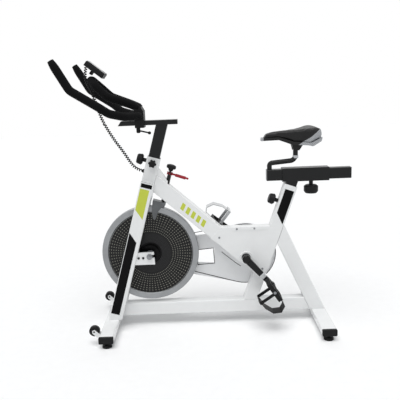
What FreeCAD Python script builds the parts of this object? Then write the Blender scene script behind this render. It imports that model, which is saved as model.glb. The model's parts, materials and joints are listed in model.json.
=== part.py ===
import FreeCAD, Part
import math
import os
import re

import Sketcher
from FreeCAD import Placement, Rotation, Vector

# Indoor spin bike. Millimetres, +Z up, front of the bike towards -X, rider's left towards -Y.
# The origin is on the floor, below the middle of the bike's length and width.

DIMENSIONS = {
    # base: two stabilisers across, one tube between them
    "front_stabiliser_x": -478, "rear_stabiliser_x": 488, "stabiliser_length": 476,
    "stabiliser_depth": 64, "stabiliser_height": 30, "floor_gap": 24,
    "end_cap_length": 12, "base_depth": 60,
    # tubes of the frame
    "tube_width": 50, "tube_wall": 2.5, "tube_corner": 5,
    "leg_depth": 60, "leg_width": 26, "leg_gap": 92, "leg_length": 662, "head_lean": 16.2,
    "fork_foot_x": -463, "head_depth": 60, "crown_depth": 64,
    "head_above_legs": 111, "head_start": "=leg_length - crown_depth",
    "head_end": "=leg_length + head_above_legs",
    "seat_foot_x": 169.5, "seat_lean": 19.7, "seat_depth": 60, "seat_tube_length": 567,
    "rear_foot_x": 481, "rear_lean": 24.5, "rear_depth": 65,
    "down_depth": 70, "down_lean": 131.7, "cross_depth": 36, "cross_top": 464,
    # drive
    "flywheel_x": -288, "flywheel_z": 353, "flywheel_radius": 223, "rim_depth": 30,
    "rim_inner": "=flywheel_radius - rim_depth",
    "rim_width": 28, "web_width": 18, "face_thickness": 2.5, "face_inner": 52,
    "hub_radius": 40, "hub_width": 44, "axle_radius": 8, "bearing_radius": 17.5,
    "bearing_width": 10, "bottom_x": 151, "bottom_z": 323, "shell_radius": 28,
    "bottom_bearing": 21,
    "shell_near": 40, "shell_far": 28.5, "crank_axle_radius": 10, "small_pulley": 31,
    "large_pulley": 95, "belt_gap": 6, "belt_near": "=tube_width / 2 + belt_gap",
    "belt_width": 10, "belt_thickness": 3,
    "guard_radius": 144, "guard_front_radius": 48, "guard_wall": 2, "guard_depth": 18.5,
    # brake, as distances out along the line of its screw from the flywheel axle
    "guide_radius": 9, "guide_length": 120, "pad_gap": 3, "lever_pivot": 11,
    # cranks and pedals
    "crank_length": 170, "crank_lean": 138, "crank_near": 56, "crank_thickness": 15,
    "crank_width": 25, "pedal_near": 82, "pedal_length": 96, "pedal_width": 84,
    "pedal_height": 20, "spindle_radius": 7, "left_pedal_turn": -124, "right_pedal_turn": 38.5,
    # handlebar
    "post_depth": 50, "post_width": 40, "post_wall": 2, "post_insertion": 108,
    "rail_front": -398, "rail_rear": -136, "rail_bottom": 940, "rail_height": 20,
    "rail_width": 44, "clamp_front": -321, "clamp_length": 40, "clamp_width": 74,
    "bar_radius": 16, "bar_z": 982, "bar_x": -301, "loop_radius": 14,
    # seat
    "sleeve_front": 322, "sleeve_rear": 531, "sleeve_bottom": 666, "sleeve_height": 60,
    "sleeve_width": 50, "slider_front": 253, "slider_rear": 631, "slider_height": 50,
    "slider_width": 40, "stem_radius": 11, "saddle_z": 826,
    # knobs and small parts
    "knob_radius": 25, "knob_length": 28, "pin_radius": 5,
    "head_pin_drop": 23, "seat_pin_drop": 86, "lock_drop": 26,
    "head_pin_up": "=head_end - head_pin_drop", "seat_pin_up": "=seat_tube_length - seat_pin_drop",
    "lock_up": "=head_end - lock_drop", "foot_radius": 21, "foot_spacing": 450, "wheel_radius": 23,
    "wheel_width": 20, "wheel_spacing": 400, "wheel_x": -533, "wheel_z": 66,
    # clearances
    "slip": 0.3, "running": 0.05, "seam": 0.1,
}

doc = FreeCAD.newDocument("indoor_spin_bike")
dims = doc.addObject("Spreadsheet::Sheet", "dims")
for row, (alias, number) in enumerate(DIMENSIONS.items(), start=1):
    dims.set(f"A{row}", alias.replace("_", " "))
    dims.set(f"B{row}", str(number))
    dims.setAlias(f"B{row}", alias)
doc.recompute()

ALIAS = re.compile(r"\b(" + "|".join(sorted(DIMENSIONS, key=len, reverse=True)) + r")\b")
NODES = []


# ---------------------------------------------------------------- formulas and placements
def value(formula):
    """The number that a formula of sheet aliases stands for."""
    return float(dims.evalExpression(str(formula)))


def bind(owner, name, formula):
    """Tie a property or constraint to the sheet."""
    owner.setExpression(name, ALIAS.sub(r"dims.\1", str(formula)))


def point(x, y, z):
    return Vector(value(x), value(y), value(z))


def leaning(foot, lean):
    """A frame whose +Z leans by lean degrees from upright towards +X."""
    return Placement(foot, Rotation(Vector(0, 1, 0), value(lean)))


def along(base, direction):
    """A frame at base whose +Z points along direction."""
    return Placement(base, Rotation(Vector(0, 0, 1), direction))


def crossing(frame_a, frame_b, offset):
    """How far up the axis of frame_a meets the line beside the axis of frame_b, offset along its x."""
    along_a = frame_a.Rotation.multVec(Vector(0, 0, 1))
    along_b = frame_b.Rotation.multVec(Vector(0, 0, 1))
    between = frame_b.multVec(Vector(offset, 0, 0)) - frame_a.Base
    return (between.x * along_b.z - between.z * along_b.x) / (
        along_a.x * along_b.z - along_a.z * along_b.x)


# ---------------------------------------------------------------- sketches and features
def keep(shape_object, label):
    """Name a sub-part and list it for export."""
    shape_object.Label = label
    NODES.append(shape_object)
    return shape_object


def new_body(label, placement=Placement(), listed=True):
    body = doc.addObject("PartDesign::Body", label)
    body.Placement = placement
    if listed:
        keep(body, label)
    return body


def new_sketch(body, role, offset=0):
    """A sketch on one of the body's own origin planes, offset along that plane's normal."""
    sketch = body.newObject("Sketcher::SketchObject", "sketch")
    plane = next(item for item in body.Origin.OriginFeatures if item.Role == role)
    sketch.AttachmentSupport = [(plane, "")]
    sketch.MapMode = "FlatFace"
    bind(sketch, ".AttachmentOffset.Base.z", offset)
    return sketch


def fix_point(sketch, geometry, end, x, y):
    """Hold one point of the sketch at a distance from its origin."""
    for kind, formula in (("DistanceX", x), ("DistanceY", y)):
        index = sketch.addConstraint(
            Sketcher.Constraint(kind, -1, 1, geometry, end, value(formula)))
        bind(sketch, f"Constraints[{index}]", formula)


def outline(sketch, corners):
    """A closed outline of straight lines through the corners."""
    ends = [Vector(value(x), value(y), 0) for x, y in corners]
    first = sketch.GeometryCount
    for index, start in enumerate(ends):
        sketch.addGeometry(Part.LineSegment(start, ends[(index + 1) % len(ends)]), False)
    for index, (x, y) in enumerate(corners):
        previous = first + (index - 1) % len(corners)
        sketch.addConstraint(Sketcher.Constraint("Coincident", previous, 2, first + index, 1))
        fix_point(sketch, first + index, 1, x, y)


def rectangle(sketch, width, height, x="0", y="0"):
    """A rectangle with its middle at x, y."""
    left, right = f"({x}) - ({width}) / 2", f"({x}) + ({width}) / 2"
    low, high = f"({y}) - ({height}) / 2", f"({y}) + ({height}) / 2"
    outline(sketch, [(left, low), (right, low), (right, high), (left, high)])


def circle(sketch, radius, x="0", y="0"):
    centre = Vector(value(x), value(y), 0)
    index = sketch.addGeometry(Part.Circle(centre, Vector(0, 0, 1), value(radius)), False)
    fix_point(sketch, index, 3, x, y)
    size = sketch.addConstraint(Sketcher.Constraint("Radius", index, value(radius)))
    bind(sketch, f"Constraints[{size}]", radius)


def pad(body, sketch, length, symmetric=False, reverse=False):
    feature = body.newObject("PartDesign::Pad", "pad")
    feature.Profile = sketch
    bind(feature, "Length", length)
    feature.SideType = "Symmetric" if symmetric else "One side"
    feature.Reversed = reverse
    doc.recompute()
    return feature


def pocket(body, sketch):
    """Cut the sketch's outline right through the body, both ways."""
    before = body.Shape.Volume
    feature = body.newObject("PartDesign::Pocket", "pocket")
    feature.Profile = sketch
    feature.SideType = "Two sides"
    feature.Type = "ThroughAll"
    feature.Type2 = "ThroughAll"
    doc.recompute()
    if body.Shape.Volume >= before:
        raise RuntimeError(f"a pocket in {body.Label} removes nothing")
    return feature


def round_edges(body, radius, chosen):
    """Round the edges of the body that the test picks."""
    rounded = body.Tip
    names = [f"Edge{number}" for number, edge in enumerate(rounded.Shape.Edges, start=1)
             if chosen(edge)]
    feature = body.newObject("PartDesign::Fillet", "rounding")
    feature.Base = (rounded, names)
    bind(feature, "Radius", radius)
    doc.recompute()


def runs_along(edge, direction):
    if edge.Curve.TypeId != "Part::GeomLine":
        return False
    return abs(abs(edge.tangentAt(edge.FirstParameter).dot(direction)) - 1) < 1e-6


def plate(body, draw, near, far):
    """Add the outline drawn in X and Z between two distances in Y."""
    sketch = new_sketch(body, "XZ_Plane", f"-({near})")
    draw(sketch)
    return pad(body, sketch, f"({far}) - ({near})", reverse=True)


def trim(body, depth, lean, height, cut_lean, upper):
    """Cut a leaning tube across at height, along a line that leans by cut_lean; upper drops its top."""
    slope = f"(cos(({cut_lean}) - ({lean})) / sin(({cut_lean}) - ({lean})))"
    reach = f"({depth}) * 0.6"
    away = f"{'' if upper else '-'}({depth}) * 2"
    sketch = new_sketch(body, "XZ_Plane")
    outline(sketch, [
        (f"-{reach}", f"({height}) - {reach} * {slope}"),
        (reach, f"({height}) + {reach} * {slope}"),
        (reach, f"({height}) + {away}"), (f"-{reach}", f"({height}) + {away}")])
    pocket(body, sketch)


def tube(label, placement, section, length, lean="0", start_cut=None, end_cut=None,
         start="0", listed=True):
    """A rectangular tube along its own +Z; the cuts are the leans of the lines it ends on."""
    depth, width, wall = section
    body = new_body(label, placement, listed)
    spare = f"({depth}) * 0.9"
    low = f"({start}) - {spare}" if start_cut else start
    span = f"({length}) - ({start})"
    span += f" + {spare}" if start_cut else ""
    span += f" + {spare}" if end_cut else ""
    sketch = new_sketch(body, "XY_Plane", low)
    rectangle(sketch, depth, width)
    pad(body, sketch, span)
    round_edges(body, "tube_corner", lambda edge: runs_along(edge, Vector(0, 0, 1)))
    hollow = new_sketch(body, "XY_Plane")
    rectangle(hollow, f"({depth}) - 2 * ({wall})", f"({width}) - 2 * ({wall})")
    pocket(body, hollow)
    if start_cut:
        trim(body, depth, lean, start, start_cut, upper=False)
    if end_cut:
        trim(body, depth, lean, length, end_cut, upper=True)
    return body


def turned(label, profile, placement, listed=True):
    """A solid of revolution: the profile gives radius and height above the body's origin."""
    body = new_body(label, placement, listed)
    sketch = new_sketch(body, "XZ_Plane")
    outline(sketch, profile)
    feature = body.newObject("PartDesign::Revolution", "turning")
    feature.Profile = sketch
    feature.ReferenceAxis = (sketch, ["V_Axis"])
    feature.Angle = 360
    doc.recompute()
    return body


def cylinder(label, radius, height, placement, listed=False):
    shape = doc.addObject("Part::Cylinder", label)
    bind(shape, "Radius", radius)
    bind(shape, "Height", height)
    shape.Placement = placement
    if listed:
        keep(shape, label)
    return shape


def block(label, size, placement, listed=False):
    """A box whose length lies along x, centred on x and y, standing on the placement's origin."""
    shape = doc.addObject("Part::Box", label)
    for name, formula in zip(("Length", "Width", "Height"), size):
        bind(shape, name, formula)
    middle = Vector(-value(size[0]) / 2, -value(size[1]) / 2, 0)
    shape.Placement = placement.multiply(Placement(middle, Rotation()))
    if listed:
        keep(shape, label)
    return shape


def joined(label, pieces, listed=True):
    shape = doc.addObject("Part::MultiFuse", label)
    shape.Shapes = pieces
    return keep(shape, label) if listed else shape


def less(label, base, tools, listed=True):
    """The base with the tools cut out of it."""
    shape = doc.addObject("Part::Cut", label)
    shape.Base = base
    shape.Tool = tools[0] if len(tools) == 1 else joined(label + "_tools", tools, listed=False)
    return keep(shape, label) if listed else shape


def grouped(label, pieces):
    """Separate solids that share one name."""
    shape = doc.addObject("Part::Compound", label)
    shape.Links = pieces
    return keep(shape, label)


def shaped(label, shape, placement=Placement(), listed=True):
    feature = doc.addObject("Part::Feature", label)
    feature.Shape = shape
    feature.Placement = placement
    return keep(feature, label) if listed else feature


# ---------------------------------------------------------------- bent round tubes
def bent_route(points, radius=None):
    """Straight runs joined by tangent arcs; without a radius each arc is as large as its runs allow."""
    edges, radii = [], []
    start = points[0]
    for before, corner, after in zip(points, points[1:], points[2:]):
        into, out = (corner - before), (after - corner)
        turn = into.getAngle(out)
        room = 0.45 * min(into.Length, out.Length)
        bend = min(radius, room / math.tan(turn / 2)) if radius else room / math.tan(turn / 2)
        inset = bend * math.tan(turn / 2)
        first = corner - into.normalize() * inset
        last = corner + out.normalize() * inset
        inward = (last - corner).normalize() + (first - corner).normalize()
        middle = corner + inward.normalize() * (bend / math.cos(turn / 2) - bend)
        edges += [Part.LineSegment(start, first).toShape(), Part.Arc(first, middle, last).toShape()]
        radii.append(bend)
        start = last
    edges.append(Part.LineSegment(start, points[-1]).toShape())
    return Part.Wire(edges), radii


def round_bar(points, radius, bend=None):
    """A round bar that follows the points."""
    wire, radii = bent_route(points, bend)
    ring = Part.Wire(Part.Circle(points[0], points[1] - points[0], radius).toShape())
    solid = Part.Solid(wire.makePipeShell([ring], True, False))
    expected = math.pi * radius ** 2 * wire.Length
    if abs(solid.Volume / expected - 1) > 0.01:
        raise RuntimeError("a bent bar has the wrong volume")
    return solid, wire, radii


def mirrored(points):
    """The points, then their mirror images across the middle plane, in reverse order."""
    return points + [Vector(p.x, -p.y, p.z) for p in reversed(points)]


# ---------------------------------------------------------------- reference frames
stabiliser_top = "(floor_gap + stabiliser_height)"
base_top = f"({stabiliser_top} + base_depth)"
upright = Placement()
head = leaning(point("fork_foot_x", 0, stabiliser_top), "head_lean")
seat = leaning(point("seat_foot_x", 0, base_top), "seat_lean")
rear = leaning(point("rear_foot_x", 0, stabiliser_top), "-rear_lean")
axle = point("flywheel_x", 0, "flywheel_z")
bottom = point("bottom_x", 0, "bottom_z")
across = Rotation(Vector(0, 0, 1), Vector(0, 1, 0))
axle_frame = Placement(axle, across)
bottom_frame = Placement(bottom, across)
brake = leaning(axle, "head_lean")


def in_frame(frame, x, y, z, rotation=Rotation()):
    """A placement at formulas x, y, z of another frame."""
    return frame.multiply(Placement(point(x, y, z), rotation))


down = leaning(bottom, "down_lean")
tube_section = ("tube_width", "tube_wall")


# ---------------------------------------------------------------- frame
def make_base():
    lying = Rotation(Vector(0, 1, 0), 90)
    level = point(0, 0, f"{stabiliser_top} + base_depth / 2")
    base = Placement(level, lying)
    tube("base_tube", base, ("base_depth", *tube_section),
         str(crossing(base, rear, value("-rear_depth / 2"))), "90", end_cut="-rear_lean",
         start="front_stabiliser_x - stabiliser_depth / 4")
    caps = []
    for name, x in (("front", "front_stabiliser_x"), ("rear", "rear_stabiliser_x")):
        centre = in_frame(upright, x, "0", "floor_gap + stabiliser_height / 2",
                          Rotation(Vector(1, 0, 0), -90))
        beam = tube(f"{name}_tube", centre, ("stabiliser_depth", "stabiliser_height", "tube_wall"),
                    "stabiliser_length / 2", start="-stabiliser_length / 2", listed=False)
        holes = []
        for side in (-1, 1):
            foot = in_frame(upright, x, f"{side} * foot_spacing / 2", "floor_gap - 1")
            holes.append(cylinder(f"{name}_foot_hole", "pin_radius + running",
                                  "stabiliser_height / 2", foot))
            caps.append(end_cap(x, side))
        if name == "front":
            beam = joined("front_tube_with_ears", [beam] + wheel_ears(), listed=False)
        less(f"{name}_stabiliser", beam, holes)
    grouped("stabiliser_end_caps", caps)


def end_cap(x, side):
    """A moulded plug: a flange over the tube's end and a spigot inside it."""
    turn = Rotation(Vector(1, 0, 0), -90 * side)
    end = in_frame(upright, x, f"{side} * stabiliser_length / 2",
                   "floor_gap + stabiliser_height / 2", turn)
    cap = new_body("end_cap", end, listed=False)
    flange = new_sketch(cap, "XY_Plane")
    rectangle(flange, "stabiliser_depth", "stabiliser_height")
    pad(cap, flange, "end_cap_length")
    spigot = new_sketch(cap, "XY_Plane")
    inside = "2 * (tube_wall + slip)"
    rectangle(spigot, f"stabiliser_depth - {inside}", f"stabiliser_height - {inside}")
    pad(cap, spigot, "end_cap_length / 2", reverse=True)
    round_edges(cap, "tube_corner", lambda edge: runs_along(edge, Vector(0, 0, 1))
                and edge.CenterOfMass.z > 0)
    return cap


def wheel_ears():
    """Two pairs of lugs on the front of the stabiliser, each pair holding a transport wheel."""
    ears = []
    face = "(front_stabiliser_x - stabiliser_depth / 2)"
    for side in (-1, 1):
        for ear in (-1, 1):
            middle = f"{side} * wheel_spacing / 2 + {ear} * (wheel_width / 2 + 3)"
            lug = new_body("wheel_ear", listed=False)

            def draw(sketch):
                outline(sketch, [
                    (f"{face} + 1", "floor_gap + 4"), (f"{face} + 1", stabiliser_top),
                    ("wheel_x + 2", "wheel_z + 9"), ("wheel_x - 8", "wheel_z + 5"),
                    ("wheel_x - 8", "wheel_z - 7")])

            plate(lug, draw, f"{middle} - 1.5", f"{middle} + 1.5")
            hole = new_sketch(lug, "XZ_Plane")
            circle(hole, "4", "wheel_x", "wheel_z")
            pocket(lug, hole)
            ears.append(lug)
    return ears


def make_frame():
    make_base()
    legs = []
    for side in (-1, 1):
        place = head.multiply(Placement(
            point(0, f"{side} * (leg_gap + leg_width) / 2", 0), Rotation()))
        legs.append(fork_leg(side, place))
    grouped("fork_legs", legs)
    solids = [tube("head_sleeve", head, ("head_depth", *tube_section), "head_end",
                   start="head_start", listed=False)]
    for side in (-1, 1):
        room = "(leg_gap - tube_width) / 2"
        place = in_frame(head, "0", f"{side} * (tube_width + leg_gap) / 4", "head_start")
        solids.append(block("crown", ("head_depth", room, "leg_length - head_start"), place))
    less("head_tube", joined("head_and_crown", solids, listed=False), head_holes("head"))
    start = crossing(down, head, value("head_depth / 2"))
    end = crossing(down, seat, value("-seat_depth / 2"))
    beam = tube("down_tube_body", down, ("down_depth", *tube_section), str(end), "down_lean",
                start_cut="head_lean", end_cut="seat_lean", start=str(start), listed=False)
    shell_hole = cylinder("shell_hole", "bottom_bearing", "tube_width + 2",
                          in_frame(bottom_frame, "0", "0", "-tube_width / 2 - 1"))
    shell = turned("bottom_bracket_shell", [
        ("bottom_bearing", "-shell_near"), ("shell_radius", "-shell_near"),
        ("shell_radius", "shell_far"), ("bottom_bearing", "shell_far")], bottom_frame, listed=False)
    guide_hole = cylinder("guide_hole", "guide_radius + seam", "220",
                          in_frame(brake, "0", "0", "flywheel_radius + 15"))
    welded = joined("welded_down_tube", [beam, shell, brake_gusset()], listed=False)
    less("down_tube", welded, [shell_hole, guide_hole])
    plain = tube("seat_sleeve", seat, ("seat_depth", *tube_section), "seat_tube_length",
                 "seat_lean", start_cut="90", listed=False)
    less("seat_tube", plain, [pin_hole(seat, "seat_depth", "seat_pin_up", "seat")])
    top = crossing(rear, seat, value("seat_depth / 2"))
    tube("rear_leg", rear, ("rear_depth", *tube_section), str(top), "-rear_lean",
         start_cut="90", end_cut="seat_lean")
    lying = Placement(point(0, 0, "cross_top - cross_depth / 2"), Rotation(Vector(0, 1, 0), 90))
    tube("cross_tube", lying, ("cross_depth", *tube_section),
         str(crossing(lying, seat, value("-seat_depth / 2"))), "90", start_cut="down_lean",
         end_cut="seat_lean", start=str(crossing(lying, down, value("-down_depth / 2"))))


def brake_gusset():
    """The web between the head tube and the brake's guide, on top of the down tube."""
    gusset = new_body("brake_gusset", head, listed=False)
    reach, front = axle_x, "(head_depth / 2)"
    under = f"({crossing(in_frame(head, front, '0', '0'), down, value('-down_depth / 2')):.6f})"
    slope = "(cos(down_lean - head_lean) / sin(down_lean - head_lean))"
    high = f"({axle_up} + flywheel_radius + 4 + guide_length)"

    def side_view(sketch):
        outline(sketch, [
            (front, f"{under} - 4"), (reach, f"{under} - 4 + ({reach} - {front}) * {slope}"),
            (reach, high), (front, f"{high} + 46")])

    plate(gusset, side_view, "-18", "18")
    return gusset


def fork_leg(side, place):
    """One leg of the fork, with the plate that carries the axle welded to its back."""
    leg = tube("leg_tube", place, ("leg_depth", "leg_width", "tube_wall"), "leg_length",
               "head_lean", start_cut="90", listed=False)
    beside = Placement(point(0, f"{side} * (leg_gap + leg_width) / 2", 0), Rotation())
    dropout = new_body("dropout", beside, listed=False)
    plate(dropout, draw_dropout, "-leg_width / 4", "leg_width / 4")
    through(dropout, lambda sketch: rectangle(
        sketch, "40", "2 * (axle_radius + seam)", "flywheel_x + 10", "flywheel_z"))
    for back in ("29", "50"):
        through(dropout, lambda sketch: circle(
            sketch, "3.5", f"flywheel_x - {back}", "flywheel_z - 6"))
    return joined(f"leg_{side}", [leg, dropout], listed=False)


axle_x = (f"((flywheel_x - fork_foot_x) * cos(head_lean)"
          f" - (flywheel_z - {stabiliser_top}) * sin(head_lean))")
axle_up = (f"((flywheel_x - fork_foot_x) * sin(head_lean)"
           f" + (flywheel_z - {stabiliser_top}) * cos(head_lean))")


def leg_x(height):
    """Where the legs' axis is at a height above the floor."""
    return f"(fork_foot_x + ({height} - {stabiliser_top}) * tan(head_lean))"


def draw_dropout(sketch):
    low, high = "(flywheel_z - 38)", "(flywheel_z + 18)"
    outline(sketch, [
        (leg_x(low), low), ("flywheel_x + 23", low), ("flywheel_x + 20", high),
        (leg_x(high), high)])


def pin_hole(frame, depth, height, name):
    """The hole for a spring pin through the front wall of a post's tube."""
    start = in_frame(frame, f"-{depth}", "0", height).Base
    place = along(start, frame.Rotation.multVec(Vector(1, 0, 0)))
    return cylinder(f"{name}_pin_hole", "pin_radius + running", depth, place)


def head_holes(name):
    """The holes in the head tube for its spring pin and for the lock knob's screw."""
    side = in_frame(head, "0", "0", "lock_up", Rotation(Vector(1, 0, 0), 90))
    return [pin_hole(head, "head_depth", "head_pin_up", name),
            cylinder(f"{name}_side_hole", "pin_radius + running", "tube_width", side)]


def make_bushings():
    """Plastic sleeves between the posts and the tubes that they slide in."""
    sleeves = []
    for frame, end, depth, length in ((head, "head_end", "head_depth", "60"),
                                      (seat, "seat_tube_length", "seat_depth", "110")):
        sleeve = new_body("bushing", frame, listed=False)
        sketch = new_sketch(sleeve, "XY_Plane", f"{end} - {length}")
        room = "2 * (tube_wall + seam)"
        rectangle(sketch, f"{depth} - {room}", f"tube_width - {room}")
        pad(sleeve, sketch, length)
        hollow = new_sketch(sleeve, "XY_Plane")
        rectangle(hollow, "post_depth + 2 * slip", "post_width + 2 * slip")
        pocket(sleeve, hollow)
        tools = (head_holes("bushing") if frame is head
                 else [pin_hole(seat, depth, "seat_pin_up", "bushing_seat")])
        sleeves.append(less("drilled_bushing", sleeve, tools, listed=False))
    grouped("post_bushings", sleeves)


# ---------------------------------------------------------------- flywheel, brake and drive
def make_flywheel():
    """A cast wheel with a heavy rim, a thin web and a hub that runs on two bearings."""
    half_rim, half_web, half_hub = "rim_width / 2", "web_width / 2", "hub_width / 2"
    half = [("bearing_radius", half_hub), ("hub_radius", half_hub), ("hub_radius", half_web),
            ("rim_inner", half_web), ("rim_inner + 4", half_rim), ("flywheel_radius - 2", half_rim),
            ("flywheel_radius", f"{half_rim} - 2")]
    profile = half + [(radius, f"-({height})") for radius, height in reversed(half)]
    turned("flywheel", profile, axle_frame)
    faces = []
    for side in (-1, 1):
        low, high = f"{side} * ({half_web})", f"{side} * ({half_web} + face_thickness)"
        faces.append(turned("face", [("face_inner", low), ("rim_inner - 1", low),
                                     ("rim_inner - 1", high), ("face_inner", high)],
                            axle_frame, listed=False))
    grouped("flywheel_faces", faces)
    rings = []
    for side in (-1, 1):
        inner = f"{side} * ({half_hub} - bearing_width)"
        rings.append(turned("hub_bearing", [
            ("axle_radius + running", inner), ("bearing_radius", inner),
            ("bearing_radius", f"{side} * {half_hub}"),
            ("axle_radius + running", f"{side} * {half_hub}")], axle_frame, listed=False))
    grouped("hub_bearings", rings)
    turned("flywheel_axle", axle_profile(), axle_frame)
    belt_far = "belt_near + belt_width"
    turned("flywheel_pulley", [
        ("axle_radius + 2", half_hub), ("small_pulley - 10", half_hub),
        ("small_pulley - 10", "belt_near - 1.5"), ("small_pulley + 2", "belt_near - 1.5"),
        ("small_pulley", "belt_near - 0.3"), ("small_pulley", f"{belt_far} + 0.3"),
        ("small_pulley + 2", f"{belt_far} + 1.5"), ("axle_radius + 2", f"{belt_far} + 1.5")],
        axle_frame)


def axle_profile():
    """The fixed axle: spacers against the bearings, a nut outside each leg plate."""
    plate_inner = "(leg_gap / 2 + leg_width / 4 - slip)"
    plate_outer = "(leg_gap / 2 + leg_width * 3 / 4 + slip)"
    end = f"({plate_outer} + 14)"
    half = [("axle_radius", "hub_width / 2 + belt_width + 12.5"),
            ("axle_radius + 4", "hub_width / 2 + belt_width + 12.5"),
            ("axle_radius + 4", plate_inner), ("axle_radius", plate_inner),
            ("axle_radius", plate_outer), ("axle_radius + 5", plate_outer),
            ("axle_radius + 5", f"{plate_outer} + 8"), ("axle_radius - 1", f"{plate_outer} + 8"),
            ("axle_radius - 1", end), ("0", end)]
    near = [("0", f"-{end}")] + [(radius, f"-({height})") for radius, height in reversed(half[:-1])]
    near[-2:] = [("axle_radius + 4", "-(hub_width / 2 + slip)"), ("axle_radius", "-(hub_width / 2 + slip)")]
    return near + half


def make_brake():
    """A screw pushes a pad yoke straight down on to the rim; a lever above it does the same."""
    low, top = "(flywheel_radius + 28)", "(flywheel_radius + 28 + guide_length)"
    barrel = cylinder("guide_barrel", "guide_radius", "guide_length", in_frame(brake, "0", "0", low))
    solids = [barrel]
    for side in (-1, 1):
        ear = new_body("guide_ear", brake, listed=False)

        def draw(sketch):
            outline(sketch, [("-7", f"{top} - 16"), ("7", f"{top} - 16"), ("7", f"{top} + 16"),
                             ("-7", f"{top} + 16")])

        plate(ear, draw, f"{side} * 12 - 1.6", f"{side} * 12 + 1.6")
        hole = new_sketch(ear, "XZ_Plane")
        circle(hole, "3 + running", "0", f"{top} + lever_pivot")
        pocket(ear, hole)
        solids.append(ear)
        web = in_frame(brake, "0", f"{side} * 9.5", f"{top} - 16")
        solids.append(block("guide_web", ("8", "5", "10"), web))
    bore = cylinder("guide_bore", "pin_radius + running", "guide_length + 20",
                    in_frame(brake, "0", "0", f"{low} - 10"))
    less("brake_guide", joined("guide_solid", solids, listed=False), [bore])
    turned("resistance_knob", [
        ("0", f"{low} - 2.6"), ("pin_radius", f"{low} - 2.6"), ("pin_radius", f"{top} + 23"),
        ("9", f"{top} + 23"), ("12", f"{top} + 32"), ("20", f"{top} + 35"),
        ("22", f"{top} + 40"), ("20", f"{top} + 49"), ("12", f"{top} + 52"),
        ("0", f"{top} + 52")], brake)
    make_brake_lever(top)
    make_brake_yoke("flywheel_radius")


def make_brake_lever(top):
    """A slotted block on two trunnions round the screw, with a handle that points to the rider."""
    middle = f"({top} + lever_pivot)"
    fork = new_body("lever_fork", brake, listed=False)
    sketch = new_sketch(fork, "XY_Plane", f"{middle} - 6")
    rectangle(sketch, "25", "20")
    pad(fork, sketch, "12")
    slot = new_sketch(fork, "XY_Plane")
    rectangle(slot, "20", "2 * pin_radius + 1")
    pocket(fork, slot)
    solids = [fork]
    for side in (-1, 1):
        pivot = in_frame(brake, "0", f"{side} * 7", middle, Rotation(Vector(1, 0, 0), -90 * side))
        solids.append(cylinder("lever_trunnion", "3", "6.6", pivot))
    start = in_frame(brake, "11", "0", middle).Base
    solids.append(cylinder("lever_arm", "4.5", "76", along(start, Vector(0.944, 0, -0.329))))
    joined("brake_lever", solids)


def make_brake_yoke(rim):
    """A spring steel yoke over the rim and the pad under its bridge."""
    yoke = new_body("yoke", brake, listed=False)
    inner = "(rim_width / 2 + 3)"

    def bridge(sketch):
        outline(sketch, [("-46", f"{rim} + 14"), ("14", f"{rim} + 14"), ("14", f"{rim} + 25"),
                         ("-46", f"{rim} + 25")])

    def cheek(sketch):
        outline(sketch, [("-46", f"{rim} + 20"), ("-40", f"{rim} - 24"), ("-26", f"{rim} - 60"),
                         ("-14", f"{rim} - 60"), ("-10", f"{rim} - 20"), ("10", f"{rim} + 20")])

    plate(yoke, bridge, f"-{inner} - 3", f"{inner} + 3")
    plate(yoke, cheek, f"-{inner} - 3", f"-{inner}")
    plate(yoke, cheek, inner, f"{inner} + 3")
    lining = new_body("brake_pad", brake, listed=False)
    sketch = new_sketch(lining, "XZ_Plane")
    outline(sketch, [("-44", f"{rim} + 14"), ("-44", f"{rim} - 4"), ("12", f"{rim} - 4"),
                     ("12", f"{rim} + 14")])
    pad(lining, sketch, "rim_width", symmetric=True)
    rim_cut = new_sketch(lining, "XZ_Plane")
    circle(rim_cut, f"{rim} + pad_gap")
    pocket(lining, rim_cut)
    grouped("brake_caliper", [yoke, lining])


def guard_plate(body, near, far, inset="0"):
    """The guard's outline: round the chainring behind, tapering to a nose round the flywheel axle."""
    big, nose = f"(guard_radius - ({inset}))", f"(guard_front_radius - ({inset}))"
    plate(body, lambda sketch: circle(sketch, big, "bottom_x", "bottom_z"), near, far)

    def taper(sketch):
        outline(sketch, [
            ("flywheel_x - 4", f"flywheel_z + {nose}"), ("bottom_x - 179", f"bottom_z + 96 - ({inset})"),
            ("bottom_x - 62", f"bottom_z + 0.9 * {big}"), ("bottom_x - 21", f"bottom_z - 0.989 * {big}"),
            ("bottom_x - 232", f"bottom_z - 96 + ({inset})"),
            ("flywheel_x - 14", f"flywheel_z - 0.955 * {nose}")])

    plate(body, taper, near, far)
    plate(body, lambda sketch: circle(sketch, nose, "flywheel_x", "flywheel_z"), near, far)


def window(sketch, margin):
    """The see-through window near the flywheel."""
    outline(sketch, [
        (f"-72 - ({margin})", f"283 - ({margin})"), (f"7 + ({margin})", f"276 - ({margin})"),
        (f"7 + ({margin})", f"355 + ({margin})"), (f"-72 - ({margin})", f"350 + ({margin})")])


def through(body, draw):
    sketch = new_sketch(body, "XZ_Plane")
    draw(sketch)
    pocket(body, sketch)


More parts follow.
